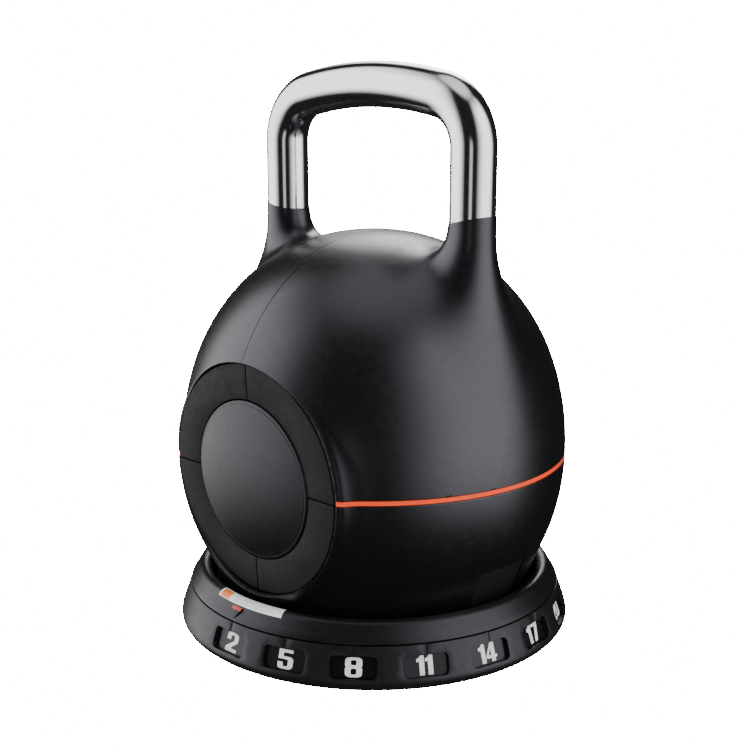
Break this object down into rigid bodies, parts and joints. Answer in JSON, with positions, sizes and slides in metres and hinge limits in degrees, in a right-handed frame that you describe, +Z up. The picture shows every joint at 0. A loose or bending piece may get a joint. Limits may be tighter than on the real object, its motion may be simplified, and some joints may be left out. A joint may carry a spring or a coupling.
{
  "type": "adjustable kettlebell",
  "caption": "Adjustable kettlebell: round black ball with a chrome grip handle, standing on a round selector base with a numbered dial ring.",
  "frame": {"origin": "on the floor under the centre of the base", "axes": "+Z up along the lift and dial axis, -Y towards the front with the pointer and medallion, X through the two handle legs"},
  "size_m": [0.2482, 0.2482, 0.3445],
  "materials": {
    "shell_black": "satin, fine grain",
    "band_orange": "gloss",
    "chrome": "polished",
    "steel": "machined, zinc plated",
    "bronze": "machined",
    "ring_grey": "matte",
    "cap_black": "satin gloss",
    "plate_black": "powder coat",
    "base_black": "satin",
    "number_black": "smoked gloss",
    "rubber": "matte",
    "nylon": "natural",
    "pointer_red": "gloss",
    "sticker_white": "printed film"
  },
  "bodies": {
    "base": {"base_plate": "base_black", "base_tray": "base_black", "base_screws": "steel", "rubber_feet": "rubber", "glide_ring": "nylon", "pointer_arrow": "pointer_red", "notice_sticker": "sticker_white", "detent_spring": "steel"},
    "dial": {"dial_ring": "base_black", "number_plate_2": "number_black", "number_plate_5": "number_black", "number_plate_8": "number_black", "number_plate_11": "number_black", "number_plate_14": "number_black", "number_plate_17": "number_black", "number_plate_20": "number_black", "drive_bar": "base_black", "hub_bush": "bronze", "dial_screws": "steel"},
    "detent": {"detent_plunger": "steel"},
    "plate_6": {"weight_plate_6": "plate_black"},
    "plate_5": {"weight_plate_5": "plate_black"},
    "plate_4": {"weight_plate_4": "plate_black"},
    "plate_3": {"weight_plate_3": "plate_black"},
    "plate_2": {"weight_plate_2": "plate_black"},
    "plate_1": {"weight_plate_1": "plate_black"},
    "bell": {"upper_shell_left": "shell_black", "upper_shell_right": "shell_black", "lower_shell": "shell_black", "accent_band_left": "band_orange", "accent_band_right": "band_orange", "handle_tube": "chrome", "leg_rod_left": "steel", "leg_rod_right": "steel", "clamp_collar_left": "steel", "clamp_collar_right": "steel", "handle_yoke": "steel", "yoke_bolts": "steel", "shaft_bush": "bronze", "shell_screws": "steel", "front_ring_upper_right": "ring_grey", "front_ring_upper_left": "ring_grey", "front_ring_lower_left": "ring_grey", "front_ring_lower_right": "ring_grey", "front_cap": "cap_black", "back_ring_upper_right": "ring_grey", "back_ring_upper_left": "ring_grey", "back_ring_lower_left": "ring_grey", "back_ring_lower_right": "ring_grey", "back_cap": "cap_black"},
    "selector": {"selector_shaft": "steel", "shaft_clip": "steel"}
  },
  "joints": [
    {"name": "dial_turn", "type": "hinge", "parent": "base", "child": "dial", "pos_m": [0, 0, 0.011], "axis": [0, 0, -1], "range_deg": [0, 117.6]},
    {"name": "detent_press", "type": "slide", "parent": "base", "child": "detent", "axis": [0.0209, -0.9998, 0], "range_m": [0, 0.0015], "stiffness_N_per_m": 400, "springref_m": -0.002},
    {"name": "plate_6_lift", "type": "slide", "parent": "base", "child": "plate_6", "axis": [0, 0, 1], "range_m": [0, 0.16]},
    {"name": "plate_5_lift", "type": "slide", "parent": "plate_6", "child": "plate_5", "axis": [0, 0, 1], "range_m": [0, 0.16]},
    {"name": "plate_4_lift", "type": "slide", "parent": "plate_5", "child": "plate_4", "axis": [0, 0, 1], "range_m": [0, 0.16]},
    {"name": "plate_3_lift", "type": "slide", "parent": "plate_4", "child": "plate_3", "axis": [0, 0, 1], "range_m": [0, 0.16]},
    {"name": "plate_2_lift", "type": "slide", "parent": "plate_3", "child": "plate_2", "axis": [0, 0, 1], "range_m": [0, 0.16]},
    {"name": "plate_1_lift", "type": "slide", "parent": "plate_2", "child": "plate_1", "axis": [0, 0, 1], "range_m": [0, 0.16]},
    {"name": "bell_lift", "type": "slide", "parent": "plate_1", "child": "bell", "axis": [0, 0, 1], "range_m": [0, 0.16]},
    {"name": "selector_turn", "type": "hinge", "parent": "bell", "child": "selector", "pos_m": [0, 0, 0.08], "axis": [0, 0, -1], "range_deg": [0, 117.6]}
  ],
  "couplings": [
    {"joint": "selector_turn", "follows": "dial_turn", "ratio": 1}
  ]
}
